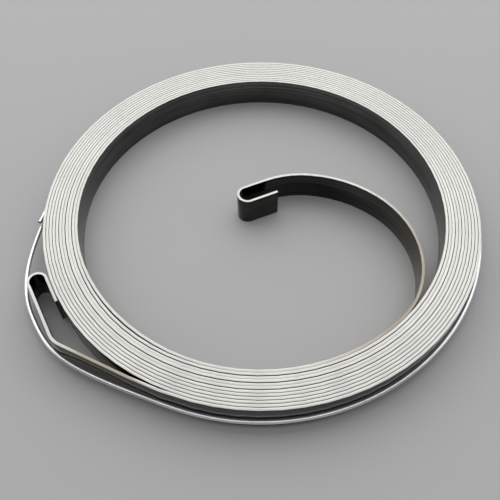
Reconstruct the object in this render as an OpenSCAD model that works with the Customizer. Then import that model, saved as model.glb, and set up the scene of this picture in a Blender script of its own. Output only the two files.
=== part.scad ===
// Recoil starter spring: a flat steel strip wound into a spiral and hooked at both ends.
// A hoop of round wire keeps it wound. The coil lies flat, its axis is Z and its base is at Z = 0.
// The front is -Y. From the inner hook to the outer hook every bend turns clockwise, seen from above.

/* [Strip] */
// Width of the strip, which is the height of the coil as it lies
strip_w = 8; // [5:0.5:14]
// Thickness of the strip
strip_t = 0.66; // [0.4:0.02:1]

/* [Coil] */
// Radius of the strip's middle line where the coil starts
coil_r = 44.95; // [40:0.05:60]
// Number of turns in the coil
coil_turns = 11.165; // [6:0.005:14]
// Mean air gap between neighbouring turns
turn_gap = 0.11; // [0.08:0.01:0.4]
// Share of the air gap by which the inner turns pair up at the front
nest_share = 0.4; // [0:0.01:0.45]
// Number of inner turns that pair up
nest_turns = 5; // [0:0.5:8]
// How far the innermost turn sags inwards at the front left
sag_depth = 0.29; // [0:0.01:0.5]
// Direction in which the coil starts, clockwise from the front
coil_start = -43; // [-90:1:90]

/* [Inner end] */
// Radii of the four bends that lead from the coil in to the hook
inner_bend_r = [20.5, 24.5, 30, 22]; // [12:0.5:50]
// Angles of those four bends
inner_bend_angle = [23.3, 72, 35.9, 29]; // [5:0.1:90]
// Straight stretch between the last bend and the eye of the inner hook
inner_leg = 6; // [1:0.5:12]
// Inside width of the inner hook
inner_hook_gap = 4; // [2:0.1:6]
// Straight free leg of the inner hook, beyond its eye
inner_hook_leg = 7.2; // [3:0.1:12]

/* [Outer end] */
// Radius of the easy bend by which the strip leaves the coil
ease_r = 78; // [60:1:120]
// Angle of that easy bend
ease_angle = 10.5; // [2:0.5:20]
// Angle of the kink where the outer end turns back along the coil
kink_angle = 35.5; // [30:0.5:50]
// Radius of that kink
kink_r = 6; // [2:0.5:10]
// Straight stretch between the kink and the eye of the outer hook
outer_leg = 14.5; // [8:0.1:20]
// Inside width of the outer hook
outer_hook_gap = 3.5; // [2:0.1:5]
// Straight free leg of the outer hook, beyond its eye
outer_hook_leg = 7.3; // [3:0.1:10]
// Air between that free leg and the coil
outer_hook_clear = 0.2; // [0.15:0.05:1]

/* [Retaining wire] */
// Diameter of the wire
wire_d = 1; // [0.8:0.05:2]
// Air between the wire and the strip
wire_gap = 0.1; // [0.08:0.01:0.3]
// Angle from where the strip leaves the coil on to the wire's upper end
wire_lead = 71; // [60:1:90]
// Angle over which the two ends of the wire lap
wire_lap = 40; // [10:1:90]
// Air between the two ends of the wire where they lap
wire_lap_gap = 0.3; // [0.2:0.1:1.5]
// How far the middle of the wire lies above the middle of the strip
wire_rise = 0.3; // [-0.5:0.1:2]
// How far the hoop tilts down at the front and up at the back
wire_dip_height = 0.7; // [0:0.1:2]
// Angle before the kink over which the wire swings out from the coil
wire_out_angle = 34; // [33:0.5:40]
// Angle past the eye of the outer hook over which the wire comes back to the coil
wire_back_angle = 28.5; // [24:0.5:40]
// How far the upper end of the wire springs away from the coil
wire_flare_width = 1.2; // [0:0.1:2]

/* [Hidden] */
facets_per_turn = 72;
bend_facet_angle = 6;
nest_at = 0.16;
nest_fade = 2;
nest_power = 3;
sag_at = 0.24;
sag_span = 0.095;
eye_relief = 0.05;
eye_facets = 64;
wire_sides = 10;
wire_step_angle = 3;
wire_probe_angle = 0.1;
wire_out_power = 1.5;
flare_angle = 5.5;
flare_steps = 4;
flare_power = 1.5;
cut_past = 1;
pitch = strip_t + turn_gap;
leave_angle = coil_start + 360 * coil_turns;
wire_r = wire_d / 2;
wire_off = strip_t / 2 + wire_gap + wire_r;

// Points and directions seen from above, with angles clockwise from the front
function around(angle, radius) = [-radius * sin(angle), -radius * cos(angle)];
function clockwise_heading(angle) = 180 - angle;
function smooth(x) = x <= 0 ? 0 : x >= 1 ? 1 : x * x * (3 - 2 * x);
function last(list) = list[len(list) - 1];

// The coil: a spiral whose inner turns pair up at the front, counted in turns from its start
function nest(n) =
    nest_share * turn_gap * (1 - smooth((n - nest_turns) / nest_fade)) * pow(cos(180 * (n - nest_at)), nest_power);
function sag(n) = sag_depth * smooth(1 - abs(n - sag_at) / sag_span);
function coil_radius(n) = coil_r + pitch * n + nest(n) - sag(n);
function coil_pose(n) =
    let (angle = coil_start + 360 * n)
    concat(around(angle, coil_radius(n)), clockwise_heading(angle));

// A pose is [x, y, heading]. A move is [length] for a straight stretch or [radius, turn] for a bend.
function straight(pose, length) =
    [[pose[0] + length * cos(pose[2]), pose[1] + length * sin(pose[2]), pose[2]]];
function bend_centre(pose, radius, turn) =
    [pose[0] - sign(turn) * radius * sin(pose[2]), pose[1] + sign(turn) * radius * cos(pose[2])];
function bend(pose, radius, turn) =
    let (
        c = bend_centre(pose, radius, turn),
        side = sign(turn),
        steps = ceil(abs(turn) / bend_facet_angle)
    )
    [for (i = [1:steps])
        let (h = pose[2] + turn * i / steps)
        [c[0] + side * radius * sin(h), c[1] - side * radius * cos(h), h]];
function step(pose, move) = len(move) == 1 ? straight(pose, move[0]) : bend(pose, move[0], move[1]);
function walk(pose, moves, i = 0) =
    i == len(moves) ? [] :
    let (run = step(pose, moves[i]))
    concat(run, walk(last(run), moves, i + 1));
function turned_round(poses) =
    [for (i = [len(poses) - 1:-1:0]) [poses[i][0], poses[i][1], poses[i][2] + 180]];

// The inner end, walked back from the start of the coil to the tip of the inner hook
inner_eye_r = inner_hook_gap / 2;
coil_start_back = last(turned_round([coil_pose(0)]));
inner_curve = walk(coil_start_back, concat(
    [for (i = [0:len(inner_bend_r) - 1]) [inner_bend_r[i], inner_bend_angle[i]]],
    [[inner_leg]]
));
inner_hook = walk(last(inner_curve), [[inner_eye_r + strip_t / 2, 180], [inner_hook_leg]]);
inner_eye = bend_centre(last(inner_curve), inner_eye_r + strip_t / 2, 1);

// The outer end: the free leg passes the coil at its clearance, and that sets where the kink is
outer_eye_r = outer_hook_gap / 2;
leave_r = coil_radius(coil_turns);
hook_lead = ease_angle + kink_angle;
short_leg_r = coil_radius(coil_turns - 1 + hook_lead / 360) + strip_t + outer_hook_clear;
long_leg_r = short_leg_r + outer_hook_gap + strip_t;
run_r = ease_r - (ease_r - leave_r) * cos(ease_angle);
run_from = (ease_r - leave_r) * sin(ease_angle);
run_to = (long_leg_r - run_r * cos(kink_angle)) / sin(kink_angle);
kink_tangent = kink_r * tan(kink_angle / 2);
outer_curve = walk(coil_pose(coil_turns), [
    [ease_r, -ease_angle],
    [run_to - run_from - kink_tangent],
    [kink_r, -kink_angle],
    [outer_leg]
]);
outer_hook = walk(last(outer_curve), [[outer_eye_r + strip_t / 2, -180], [outer_hook_leg]]);
outer_eye = bend_centre(last(outer_curve), outer_eye_r + strip_t / 2, -1);

// The whole middle line, from the tip of the inner hook to the tip of the outer hook
coil_steps = round(coil_turns * facets_per_turn);
coil_line = [for (i = [0:coil_steps]) coil_pose(coil_turns * i / coil_steps)];
middle_line = concat(
    turned_round(concat(inner_curve, inner_hook)),
    coil_line,
    outer_curve,
    outer_hook
);
function beside(pose, offset) =
    [pose[0] - offset * sin(pose[2]), pose[1] + offset * cos(pose[2])];
function strip_outline(line, thickness) = concat(
    [for (pose = line) beside(pose, thickness / 2)],
    [for (i = [len(line) - 1:-1:0]) beside(line[i], -thickness / 2)]
);

module eye_cut(centre, radius) {
    translate([centre[0], centre[1], -cut_past])
        cylinder(r = radius + eye_relief, h = strip_w + 2 * cut_past, $fn = eye_facets);
}

module spring_strip() {
    color([0.72, 0.72, 0.69])
        difference() {
            linear_extrude(height = strip_w)
                polygon(strip_outline(middle_line, strip_t));
            eye_cut(inner_eye, inner_eye_r);
            eye_cut(outer_eye, outer_eye_r);
        }
}

// The wire follows the outermost turn, and swings out round the kink and the outer hook
kink_lead = ease_angle + atan(run_to / run_r);
kink_reach = norm([run_to, run_r]) - kink_r * (1 / cos(kink_angle / 2) - 1);
eye_along = run_to * cos(kink_angle) - run_r * sin(kink_angle) + kink_tangent + outer_leg;
eye_out = long_leg_r - outer_eye_r - strip_t / 2;
eye_lead = hook_lead + atan(eye_along / eye_out);
eye_reach = norm([eye_along, eye_out]) + outer_eye_r + strip_t / 2;

// Angles along the wire are clockwise from where the strip leaves the coil
swing_from = kink_lead - wire_out_angle;
swing_inset = (eye_lead - kink_lead) / 4;
swing_top = kink_lead + swing_inset;
swing_hold = eye_lead - swing_inset;
swing_to = eye_lead + wire_back_angle;
function swing(a) =
    a < swing_top
    ? smooth(pow(max(0, (a - swing_from) / (swing_top - swing_from)), wire_out_power))
    : smooth((swing_to - a) / (swing_to - swing_hold));
function wire_turn(a) = coil_turns + a / 360 - smooth((a - kink_lead) / (swing_to - kink_lead));
function wire_base(a) = coil_r + pitch * wire_turn(a) + wire_off;
swing_out = max(
    (kink_reach + wire_off - wire_base(kink_lead)) / swing(kink_lead),
    (eye_reach + wire_off - wire_base(eye_lead)) / swing(eye_lead)
);
wire_from = wire_lead - 360;
wire_span = 360 + wire_lap;
wire_fall = (wire_d + wire_lap_gap) * wire_span / 360;
wire_mid_z = strip_w / 2 + wire_rise;
function flare(a) = wire_flare_width * pow(max(0, 1 - (a - wire_from) / flare_angle), flare_power);
function wire_z(a) =
    wire_mid_z + wire_fall * (0.5 - (a - wire_from) / wire_span) - wire_dip_height * cos(leave_angle + a);
function wire_point(a) = concat(
    around(leave_angle + a, wire_base(a) + swing_out * swing(a) + flare(a)),
    wire_z(a)
);
function wire_ring(a) =
    let (
        centre = wire_point(a),
        ahead = wire_point(a + wire_probe_angle) - wire_point(a - wire_probe_angle),
        out = [-ahead[1], ahead[0], 0] / norm([ahead[0], ahead[1]])
    )
    [for (k = [0:wire_sides - 1])
        let (t = 360 * k / wire_sides)
        centre + wire_r * (cos(t) * out + sin(t) * [0, 0, 1])];

module tube(rings) {
    sides = len(rings[0]);
    count = len(rings);
    polyhedron(
        points = [for (ring = rings) each ring],
        faces = concat(
            [[for (k = [0:sides - 1]) k]],
            [for (i = [0:count - 2], k = [0:sides - 1])
                let (next = (k + 1) % sides)
                [i * sides + k, (i + 1) * sides + k, (i + 1) * sides + next, i * sides + next]],
            [[for (k = [sides - 1:-1:0]) (count - 1) * sides + k]]
        )
    );
}

module retaining_wire() {
    hoop_from = wire_from + flare_angle;
    hoop_span = wire_span - flare_angle;
    steps = ceil(hoop_span / wire_step_angle);
    color([0.78, 0.8, 0.82])
        tube(concat(
            [for (i = [0:flare_steps - 1]) wire_ring(wire_from + flare_angle * i / flare_steps)],
            [for (i = [0:steps]) wire_ring(hoop_from + hoop_span * i / steps)]
        ));
}

spring_strip();
retaining_wire();
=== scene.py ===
"""Looks of a recoil starter spring: a wound steel strip with hooked ends and a hoop of wire round it.

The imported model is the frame. Every size is in metres, the coil's axis is Z and the front is -Y.
"""

import math

import bmesh
import bpy
from bpy.props import FloatProperty, FloatVectorProperty, IntProperty, PointerProperty
from mathutils import Matrix, Vector


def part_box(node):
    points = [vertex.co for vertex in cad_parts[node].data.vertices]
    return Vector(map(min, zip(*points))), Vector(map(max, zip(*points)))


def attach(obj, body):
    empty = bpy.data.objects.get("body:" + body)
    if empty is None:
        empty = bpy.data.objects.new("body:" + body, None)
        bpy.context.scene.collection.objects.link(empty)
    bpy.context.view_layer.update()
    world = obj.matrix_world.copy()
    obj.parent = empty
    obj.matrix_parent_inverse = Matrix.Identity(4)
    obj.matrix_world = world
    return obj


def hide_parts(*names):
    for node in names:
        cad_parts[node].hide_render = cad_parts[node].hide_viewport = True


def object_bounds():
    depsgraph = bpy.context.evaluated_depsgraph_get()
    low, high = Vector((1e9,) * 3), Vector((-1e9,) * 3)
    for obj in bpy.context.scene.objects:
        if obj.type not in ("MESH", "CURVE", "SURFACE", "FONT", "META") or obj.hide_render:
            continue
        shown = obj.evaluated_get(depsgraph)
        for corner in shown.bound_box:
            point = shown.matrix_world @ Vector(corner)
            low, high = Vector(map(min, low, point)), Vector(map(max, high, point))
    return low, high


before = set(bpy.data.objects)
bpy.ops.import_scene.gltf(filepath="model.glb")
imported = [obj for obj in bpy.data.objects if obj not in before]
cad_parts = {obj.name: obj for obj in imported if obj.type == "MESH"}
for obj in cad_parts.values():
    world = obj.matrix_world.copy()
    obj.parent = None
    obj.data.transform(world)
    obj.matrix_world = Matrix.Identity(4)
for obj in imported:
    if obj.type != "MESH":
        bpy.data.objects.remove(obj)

bl_info = {
    "name": "Recoil Starter Spring",
    "version": (1, 0, 0),
    "blender": (4, 5, 0),
    "location": "View3D > Sidebar > Starter Spring",
    "description": "Dresses the wound strip, the wire hoop and the stage of a recoil starter spring",
    "category": "Object",
}

MM = 0.001
CAD_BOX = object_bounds()
STRIP_LOW, STRIP_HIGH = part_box("spring_strip")

# Points nearer to each other than this are one point
MERGE_GAP = 0.0005 * MM

# The closed coil lies between these radii, and the end tints and the painted shade at the hooks fade out
# over this width at each
INNER_TURN = 45.4 * MM
OUTER_TURN = 53.8 * MM
FADE = 0.1 * MM

# Where each end of the strip is tinted darker and browner, and how far the tint reaches
INNER_END_TINT = ((27 * MM, -22 * MM, STRIP_HIGH.z), 28 * MM)
OUTER_END_TINT = ((-33 * MM, -44 * MM, STRIP_HIGH.z), 13 * MM)

# The middle of each hook, round which the wide faces get painted shade, and how far that painted shade
# reaches
INNER_PAINTED_SHADE = ((-3 * MM, 3 * MM, STRIP_HIGH.z / 2), 45 * MM)
OUTER_PAINTED_SHADE = ((-52 * MM, -22 * MM, STRIP_HIGH.z / 2), 18 * MM)


class StripProps(bpy.types.PropertyGroup):
    """Sizes and colours of the wound strip."""

    edge_round: FloatProperty(
        name="Edge round",
        description="How far the long edges of the strip are rounded",
        default=0.04 * MM,
        min=0.02 * MM,
        max=0.25 * MM,
        subtype="DISTANCE",
        unit="LENGTH",
    )
    edge_steps: IntProperty(
        name="Edge steps",
        description="Number of facets across each rounded edge",
        default=3,
        min=1,
        max=6,
    )
    edge_colour: FloatVectorProperty(
        name="Edge colour",
        description="Colour of the bright satin edges",
        default=(0.56, 0.556, 0.53),
        min=0,
        max=1,
        subtype="COLOR",
    )
    face_colour: FloatVectorProperty(
        name="Face colour",
        description="Colour of the dark polished wide faces",
        default=(0.115, 0.115, 0.112),
        min=0,
        max=1,
        subtype="COLOR",
    )
    end_tint_colour: FloatVectorProperty(
        name="End tint colour",
        description="Straw tint at the bent ends of the strip",
        default=(0.26, 0.225, 0.17),
        min=0,
        max=1,
        subtype="COLOR",
    )


class WireProps(bpy.types.PropertyGroup):
    """Sizes and colours of the wire hoop."""

    end_round: FloatProperty(
        name="End round",
        description="How far the rim of each cut end is rounded",
        default=0.08 * MM,
        min=0.02 * MM,
        max=0.2 * MM,
        subtype="DISTANCE",
        unit="LENGTH",
    )
    smooth_levels: IntProperty(
        name="Smooth levels",
        description="Levels of subdivision that make the wire round",
        default=2,
        min=1,
        max=3,
    )
    wire_colour: FloatVectorProperty(
        name="Wire colour",
        description="Colour of the bright drawn wire",
        default=(0.9, 0.92, 0.92),
        min=0,
        max=1,
        subtype="COLOR",
    )
    cut_colour: FloatVectorProperty(
        name="Cut colour",
        description="Colour of the dull cut ends",
        default=(0.16, 0.16, 0.16),
        min=0,
        max=1,
        subtype="COLOR",
    )


class StageProps(bpy.types.PropertyGroup):
    """The floor, the lights and the camera."""

    floor_size: FloatProperty(
        name="Floor size",
        description="Length of each side of the floor",
        default=4,
        subtype="DISTANCE",
        unit="LENGTH",
    )
    floor_colour: FloatVectorProperty(
        name="Floor colour",
        description="Colour of the plain floor",
        default=(0.41, 0.414, 0.41),
        min=0,
        max=1,
        subtype="COLOR",
    )
    sky_light: FloatProperty(
        name="Sky light",
        description="Strength of the even light from all round",
        default=0.03,
        min=0,
    )
    back_light: FloatProperty(
        name="Back light",
        description="Power of the wide lamp above and behind the spring",
        default=13.2,
        min=0,
        subtype="POWER",
        unit="POWER",
    )
    upper_light: FloatProperty(
        name="Upper light",
        description="Power of the narrow lamp overhead",
        default=2.4,
        min=0,
        subtype="POWER",
        unit="POWER",
    )
    front_light: FloatProperty(
        name="Front light",
        description="Power of the dim lamp low in front",
        default=0.9,
        min=0,
        subtype="POWER",
        unit="POWER",
    )
    side_light: FloatProperty(
        name="Side light",
        description="Power of the lamp on each side",
        default=2.4,
        min=0,
        subtype="POWER",
        unit="POWER",
    )
    camera_place: FloatVectorProperty(
        name="Camera place",
        description="Where the camera stands",
        default=(-2.71 * MM, -106.34 * MM, 138.23 * MM),
        subtype="TRANSLATION",
        unit="LENGTH",
    )
    camera_elevation: FloatProperty(
        name="Camera elevation",
        description="Angle at which the camera looks down",
        default=math.radians(54.66),
        subtype="ANGLE",
        unit="ROTATION",
    )
    camera_roll: FloatProperty(
        name="Camera roll",
        description="Turn of the camera about its own view",
        default=math.radians(-0.876),
        subtype="ANGLE",
        unit="ROTATION",
    )
    camera_lens: FloatProperty(
        name="Camera lens",
        description="Focal length in millimetres on a sensor 36 mm wide",
        default=48.75,
        min=10,
    )


class Shade:
    """A number that varies over a surface: one socket of a finish's nodes."""

    def __init__(self, finish, socket):
        self.finish = finish
        self.socket = socket

    def maths(self, operation, first, second):
        node = self.finish.node("ShaderNodeMath", {"operation": operation}, {0: first, 1: second})
        return Shade(self.finish, node.outputs[0])

    def __add__(self, other):
        return self.maths("ADD", self, other)

    def __radd__(self, other):
        return self.maths("ADD", other, self)

    def __sub__(self, other):
        return self.maths("SUBTRACT", self, other)

    def __rsub__(self, other):
        return self.maths("SUBTRACT", other, self)

    def __mul__(self, other):
        return self.maths("MULTIPLY", self, other)

    def __rmul__(self, other):
        return self.maths("MULTIPLY", other, self)

    def __truediv__(self, other):
        return self.maths("DIVIDE", self, other)

    def at_least(self, floor):
        return self.maths("MAXIMUM", self, floor)

    def at_most(self, ceiling):
        return self.maths("MINIMUM", self, ceiling)

    def clamped(self):
        """The shade kept between 0 and 1."""
        return self.at_least(0.0).at_most(1.0)

    def spread(self, gain):
        """The shade with its ups and downs about the middle made larger."""
        return (self - 0.5) * gain + 0.5


class Finish:
    """A material and the nodes that make it."""

    def __init__(self, name):
        self.material = bpy.data.materials.new(name)
        self.material.use_nodes = True
        self.tree = self.material.node_tree
        self.surface = self.tree.nodes["Principled BSDF"]
        self.place = Shade(self, self.node("ShaderNodeTexCoord").outputs["Object"])

    def node(self, kind, settings=None, inputs=None):
        """A new node, with its settings made first and its sockets fed after them."""
        made = self.tree.nodes.new(kind)
        for key, value in (settings or {}).items():
            setattr(made, key, value)
        for key, value in (inputs or {}).items():
            self.feed(made.inputs[key], value)
        return made

    def feed(self, socket, value):
        """Links a shade to a socket, or sets the socket's own value."""
        if isinstance(value, Shade):
            self.tree.links.new(value.socket, socket)
        else:
            socket.default_value = value

    def set(self, **values):
        """Feeds sockets of the surface, named in lower case with underscores."""
        for key, value in values.items():
            self.feed(self.surface.inputs[key.replace("_", " ").title()], value)

    def grain(self, cells, detail=3.0):
        """Noise from 0 to 1, with the given number of cells in a metre along X, Y and Z."""
        stretched = self.node("ShaderNodeMapping", {}, {"Vector": self.place, "Scale": cells})
        noise = self.node(
            "ShaderNodeTexNoise",
            {"noise_dimensions": "3D"},
            {"Vector": Shade(self, stretched.outputs[0]), "Scale": 1.0, "Detail": detail},
        )
        return Shade(self, noise.outputs[0])

    def near(self, point, reach):
        """1 at a point, falling to 0 at a distance from it."""
        apart = self.node("ShaderNodeVectorMath", {"operation": "DISTANCE"}, {0: self.place, 1: point})
        return (1.0 - Shade(self, apart.outputs["Value"]) / reach).at_least(0.0)

    def radius(self):
        """Distance from the axis of the coil."""
        flat = self.node("ShaderNodeVectorMath", {"operation": "MULTIPLY"}, {0: self.place, 1: (1, 1, 0)})
        length = self.node(
            "ShaderNodeVectorMath",
            {"operation": "LENGTH"},
            {0: Shade(self, flat.outputs[0])},
        )
        return Shade(self, length.outputs["Value"])

    def rings(self, cells):
        """Noise from 0 to 1 that changes only with the radius, with a number of cells in a metre."""
        noise = self.node(
            "ShaderNodeTexNoise",
            {"noise_dimensions": "1D"},
            {"W": self.radius(), "Scale": cells, "Detail": 1.0},
        )
        return Shade(self, noise.outputs[0])

    def at_ends(self, inner, outer):
        """1 round a place on each end of the strip, falling to 0 at its reach, and 0 on the coil."""
        inside = ((INNER_TURN - self.radius()) / FADE).clamped()
        outside = ((self.radius() - OUTER_TURN) / FADE).clamped()
        share = self.near(*inner) * inside + self.near(*outer) * outside
        return (share * 2.0).at_most(1.0)

    def blend(self, share, first, second):
        """A colour between two others."""
        mix = self.node(
            "ShaderNodeMix",
            {"data_type": "RGBA", "clamp_factor": True},
            {0: share, 6: as_rgba(first), 7: as_rgba(second)},
        )
        return Shade(self, mix.outputs[2])

    def bumped(self, height, depth):
        """A normal that follows a height from 0 to 1 over a depth in metres."""
        bump = self.node("ShaderNodeBump", {}, {"Height": height, "Distance": depth, "Strength": 1.0})
        return Shade(self, bump.outputs[0])


def as_rgba(colour):
    """A colour as four numbers, or a shade as it is."""
    return colour if isinstance(colour, Shade) else (*colour, 1.0)


def even(cells):
    """The same number of cells along X, Y and Z."""
    return (cells, cells, cells)


def shaded(colour, factor):
    """A colour made lighter or darker."""
    return tuple(min(1.0, part * factor) for part in colour)


def edge_finish(props):
    """Bright satin steel of the strip's rounded edges, darker and browner towards the bends."""
    finish = Finish("strip_edge_steel")
    fine = finish.grain(even(900.0))
    broad = finish.grain(even(70.0))
    tone = broad * 0.5 + finish.rings(900.0) * 0.5
    steel = finish.blend(tone, shaded(props.edge_colour, 0.8), shaded(props.edge_colour, 1.2))
    # Darker, browner tint at the bent ends of the strip
    tint = finish.at_ends(INNER_END_TINT, OUTER_END_TINT) * (0.5 + broad * 0.5)
    finish.set(
        base_color=finish.blend(tint, steel, props.end_tint_colour),
        metallic=1.0,
        roughness=0.36 + fine * 0.16,
        normal=finish.bumped(fine, 0.001 * MM),
    )
    return finish.material


def face_finish(props):
    """Dark polished steel of the wide faces, with rolling streaks, and painted shade that makes them
    darkest round the hooks.
    """
    finish = Finish("strip_face_steel")
    streaks = finish.grain((20.0, 20.0, 1600.0), 4.0)
    broad = finish.grain((90.0, 90.0, 160.0))
    tone = (streaks * 0.7 + broad * 0.3).spread(2.4)
    steel = finish.blend(tone, shaded(props.face_colour, 0.4), shaded(props.face_colour, 1.6))
    # Painted shade: a much darker copy of the face steel, standing in for the shadowed floor that the
    # faces reflect round the hooks
    painted_shade_steel = finish.blend(tone, shaded(props.face_colour, 0.05), shaded(props.face_colour, 0.75))
    # Darker, browner tint at the bent ends of the strip
    end_tint_share = finish.at_ends(INNER_END_TINT, OUTER_END_TINT) * (0.2 + broad)
    end_tinted_steel = finish.blend(end_tint_share, steel, shaded(props.end_tint_colour, 0.5))
    # The base colour turns to the painted shade copy round each hook
    finish.set(
        base_color=finish.blend(finish.at_ends(INNER_PAINTED_SHADE, OUTER_PAINTED_SHADE), end_tinted_steel, painted_shade_steel),
        metallic=1.0,
        roughness=0.12 + streaks * 0.1,
    )
    return finish.material


def wire_finish(props):
    """Bright drawn wire with a pale, plated bloom."""
    finish = Finish("wire_steel")
    bloom = finish.grain(even(220.0))
    fine = finish.grain(even(1500.0))
    finish.set(
        base_color=finish.blend(bloom, shaded(props.wire_colour, 0.84), shaded(props.wire_colour, 1.1)),
        metallic=0.9,
        roughness=0.28 + fine * 0.1,
    )
    return finish.material


def cut_finish(props):
    """Dull sheared steel of the wire's ends."""
    finish = Finish("wire_cut_steel")
    marks = finish.grain(even(2500.0))
    finish.set(
        base_color=finish.blend(marks, shaded(props.cut_colour, 0.7), shaded(props.cut_colour, 1.4)),
        metallic=1.0,
        roughness=0.5 + marks * 0.2,
        normal=finish.bumped(marks, 0.02 * MM),
    )
    return finish.material


def floor_finish(props):
    """A plain matt floor with a slight sheen."""
    finish = Finish("plain_floor")
    finish.set(base_color=(*props.floor_colour, 1.0), roughness=0.5)
    finish.surface.inputs["Specular IOR Level"].default_value = 0.4
    return finish.material


def make_active(piece):
    """Deselects all that is selected, and selects one object."""
    bpy.ops.object.select_all(action="DESELECT")
    piece.select_set(True)
    bpy.context.view_layer.objects.active = piece


def merged_copy(node, name):
    """A new object with its own copy of a CAD node's mesh, with the loose triangles joined."""
    piece = bpy.data.objects.new(name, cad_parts[node].data.copy())
    piece.data.name = name
    piece.data.materials.clear()
    bpy.context.scene.collection.objects.link(piece)
    make_active(piece)
    bpy.ops.object.mode_set(mode="EDIT")
    bpy.ops.mesh.select_all(action="SELECT")
    bpy.ops.mesh.remove_doubles(threshold=MERGE_GAP)
    bpy.ops.mesh.customdata_custom_splitnormals_clear()
    bpy.ops.object.mode_set(mode="OBJECT")
    return piece


def select_in_edit(piece, mode, wanted):
    """In edit mode, selects only the edges or faces that a test wants."""
    bpy.ops.mesh.select_mode(type=mode)
    bpy.ops.mesh.select_all(action="DESELECT")
    mesh = bmesh.from_edit_mesh(piece.data)
    elements = mesh.edges if mode == "EDGE" else mesh.faces
    chosen = [element for element in elements if wanted(element)]
    if not chosen:
        raise RuntimeError(f"{piece.name} has nothing to select")
    for element in chosen:
        element.select_set(True)
    mesh.select_flush_mode()
    bmesh.update_edit_mesh(piece.data)


def paint(piece, materials, index_of):
    """Gives a piece its materials, and each of its faces the one that a test picks."""
    for material in materials:
        piece.data.materials.append(material)
    for face in piece.data.polygons:
        face.material_index = index_of(face)


class STARTER_OT_strip(bpy.types.Operator):
    """Models the wound strip: the CAD coil with rounded edges and two finishes"""

    bl_idname = "starter_spring.strip"
    bl_label = "Wound strip"

    # Triangles that meet at less than this are one face
    flat_angle = math.radians(0.3)

    # A face that looks up or down by more than this belongs to an edge
    edge_normal_z = 0.2

    # Faces that meet at less than this are shaded as one surface
    smooth_angle = math.radians(35)

    def execute(self, context):
        props = context.scene.starter_strip
        strip = merged_copy("spring_strip", "wound_strip")
        bpy.ops.object.mode_set(mode="EDIT")
        bpy.ops.mesh.dissolve_limited(angle_limit=self.flat_angle)
        select_in_edit(strip, "EDGE", self.is_long_edge)
        bpy.ops.mesh.bevel(
            offset=props.edge_round,
            segments=props.edge_steps,
            affect="EDGES",
            clamp_overlap=False,
        )
        bpy.ops.object.mode_set(mode="OBJECT")
        paint(strip, [edge_finish(props), face_finish(props)], self.finish_of)
        bpy.ops.object.shade_smooth_by_angle(angle=self.smooth_angle)
        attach(strip, "root")
        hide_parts("spring_strip")
        return {"FINISHED"}

    def is_long_edge(self, edge):
        """True for an edge of the flat top or bottom."""
        heights = [corner.co.z for corner in edge.verts]
        return any(
            all(abs(height - level) < MERGE_GAP for height in heights)
            for level in (STRIP_LOW.z, STRIP_HIGH.z)
        )

    def finish_of(self, face):
        """0 for the rounded edges and 1 for the wide faces."""
        return 0 if abs(face.normal.z) > self.edge_normal_z else 1


class STARTER_OT_wire(bpy.types.Operator):
    """Models the wire hoop: the CAD wire made round, with rounded cut ends"""

    bl_idname = "starter_spring.wire"
    bl_label = "Wire hoop"

    # A face that looks along the wire by more than this is a cut end
    cut_normal = 0.7

    # Triangles are paired into quads within these limits of fold and skew
    quad_angle = math.radians(60)

    # The wire is grown by this much first, because the rounding shrinks it
    swell = 0.034 * MM

    # Number of facets across the rounded rim of a cut end
    end_steps = 2

    # Faces that meet at less than this are shaded as one surface
    smooth_angle = math.radians(50)

    def execute(self, context):
        props = context.scene.starter_wire
        wire = merged_copy("retaining_wire", "wire_hoop")
        bpy.ops.object.mode_set(mode="EDIT")
        select_in_edit(wire, "FACE", self.is_cut)
        bpy.ops.mesh.dissolve_faces()
        select_in_edit(wire, "FACE", lambda face: not self.is_cut(face))
        bpy.ops.mesh.tris_convert_to_quads(face_threshold=self.quad_angle, shape_threshold=self.quad_angle)
        bpy.ops.mesh.select_all(action="SELECT")
        bpy.ops.transform.shrink_fatten(value=self.swell)
        select_in_edit(wire, "FACE", self.is_cut)
        bpy.ops.mesh.region_to_loop()
        bpy.ops.mesh.bevel(
            offset=props.end_round,
            segments=self.end_steps,
            affect="EDGES",
            clamp_overlap=False,
        )
        bpy.ops.object.mode_set(mode="OBJECT")
        rounding = wire.modifiers.new("round", "SUBSURF")
        rounding.levels = props.smooth_levels
        rounding.render_levels = props.smooth_levels
        bpy.ops.object.modifier_apply(modifier=rounding.name)
        paint(wire, [wire_finish(props), cut_finish(props)], self.finish_of)
        bpy.ops.object.shade_smooth_by_angle(angle=self.smooth_angle)
        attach(wire, "root")
        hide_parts("retaining_wire")
        return {"FINISHED"}

    def is_cut(self, face):
        """True for a face that looks along the wire."""
        centre = face.calc_center_median()
        return self.looks_along(face.normal, centre)

    def looks_along(self, normal, centre):
        """True if a normal points along the hoop at a place on it."""
        along = Vector((-centre.y, centre.x, 0.0)).normalized()
        return abs(normal.dot(along)) > self.cut_normal

    def finish_of(self, face):
        """0 for the round of the wire and 1 for its cut ends."""
        return 1 if self.looks_along(face.normal, face.center) else 0


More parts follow.
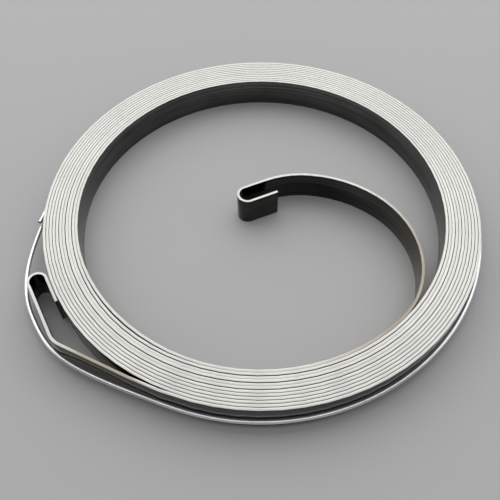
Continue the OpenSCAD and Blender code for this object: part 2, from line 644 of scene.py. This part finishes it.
class STARTER_OT_stage(bpy.types.Operator):
    """Sets the floor, the lights and the camera"""

    bl_idname = "starter_spring.stage"
    bl_label = "Stage"

    # Each lamp's name, its place and size in metres, and the setting that gives its power
    lamps = (
        ("back_lamp", (0.0, 0.7, 0.73), (1.8, 1.4), "back_light"),
        ("upper_lamp", (0.0, -0.25, 0.97), (1.2, 0.25), "upper_light"),
        ("front_lamp", (0.0, -0.9, 0.42), (1.4, 0.5), "front_light"),
        ("left_lamp", (-0.85, 0.12, 0.45), (0.9, 0.7), "side_light"),
        ("right_lamp", (0.85, 0.12, 0.45), (0.9, 0.7), "side_light"),
    )

    def execute(self, context):
        props = context.scene.starter_stage
        self.add_floor(props)
        self.add_lights(context, props)
        self.add_camera(context, props)
        context.scene.view_settings.view_transform = "Standard"
        return {"FINISHED"}

    def add_floor(self, props):
        bpy.ops.object.select_all(action="DESELECT")
        bpy.ops.mesh.primitive_plane_add(size=props.floor_size, location=(0, 0, CAD_BOX[0].z))
        floor = bpy.context.active_object
        floor.name = "floor"
        bpy.ops.object.transform_apply(location=True)
        floor.data.materials.append(floor_finish(props))

    def add_lights(self, context, props):
        world = bpy.data.worlds.new("soft_room")
        context.scene.world = world
        world.use_nodes = True
        sky = world.node_tree.nodes["Background"]
        sky.inputs["Color"].default_value = (1.0, 1.0, 0.99, 1.0)
        sky.inputs["Strength"].default_value = props.sky_light
        for name, place, size, power in self.lamps:
            self.add_lamp(name, place, size, getattr(props, power))

    def add_lamp(self, name, place, size, power):
        """A soft rectangular lamp that looks at the spring."""
        bpy.ops.object.light_add(type="AREA", location=place)
        lamp = bpy.context.active_object
        lamp.name = name
        lamp.rotation_euler = (-Vector(place)).to_track_quat("-Z", "Y").to_euler()
        lamp.data.shape = "RECTANGLE"
        lamp.data.size, lamp.data.size_y = size
        lamp.data.energy = power

    def add_camera(self, context, props):
        bpy.ops.object.camera_add(location=props.camera_place)
        camera = bpy.context.active_object
        camera.name = "camera"
        tilt = Matrix.Rotation(math.pi / 2 - props.camera_elevation, 3, "X")
        roll = Matrix.Rotation(props.camera_roll, 3, "Z")
        camera.rotation_euler = (tilt @ roll).to_euler()
        camera.data.lens = props.camera_lens
        camera.data.clip_start = MM
        context.scene.camera = camera


class STARTER_PT_panel(bpy.types.Panel):
    """Lists the sizes, the colours and the steps"""

    bl_idname = "STARTER_PT_panel"
    bl_label = "Starter Spring"
    bl_space_type = "VIEW_3D"
    bl_region_type = "UI"
    bl_category = "Starter Spring"

    def draw(self, context):
        for group, step in PANEL_ROWS:
            box = self.layout.box()
            props = getattr(context.scene, group)
            for name in props.bl_rna.properties.keys():
                if name not in {"rna_type", "name"}:
                    box.prop(props, name)
            box.operator(step)


PANEL_ROWS = (
    ("starter_strip", STARTER_OT_strip.bl_idname),
    ("starter_wire", STARTER_OT_wire.bl_idname),
    ("starter_stage", STARTER_OT_stage.bl_idname),
)
PROPS = {"starter_strip": StripProps, "starter_wire": WireProps, "starter_stage": StageProps}
CLASSES = (
    StripProps,
    WireProps,
    StageProps,
    STARTER_OT_strip,
    STARTER_OT_wire,
    STARTER_OT_stage,
    STARTER_PT_panel,
)


def register():
    for cls in CLASSES:
        bpy.utils.register_class(cls)
    for name, group in PROPS.items():
        setattr(bpy.types.Scene, name, PointerProperty(type=group))


def unregister():
    for name in PROPS:
        delattr(bpy.types.Scene, name)
    for cls in reversed(CLASSES):
        bpy.utils.unregister_class(cls)


def main():
    register()
    bpy.ops.starter_spring.strip()
    bpy.ops.starter_spring.wire()
    bpy.ops.starter_spring.stage()


if __name__ == "__main__":
    main()
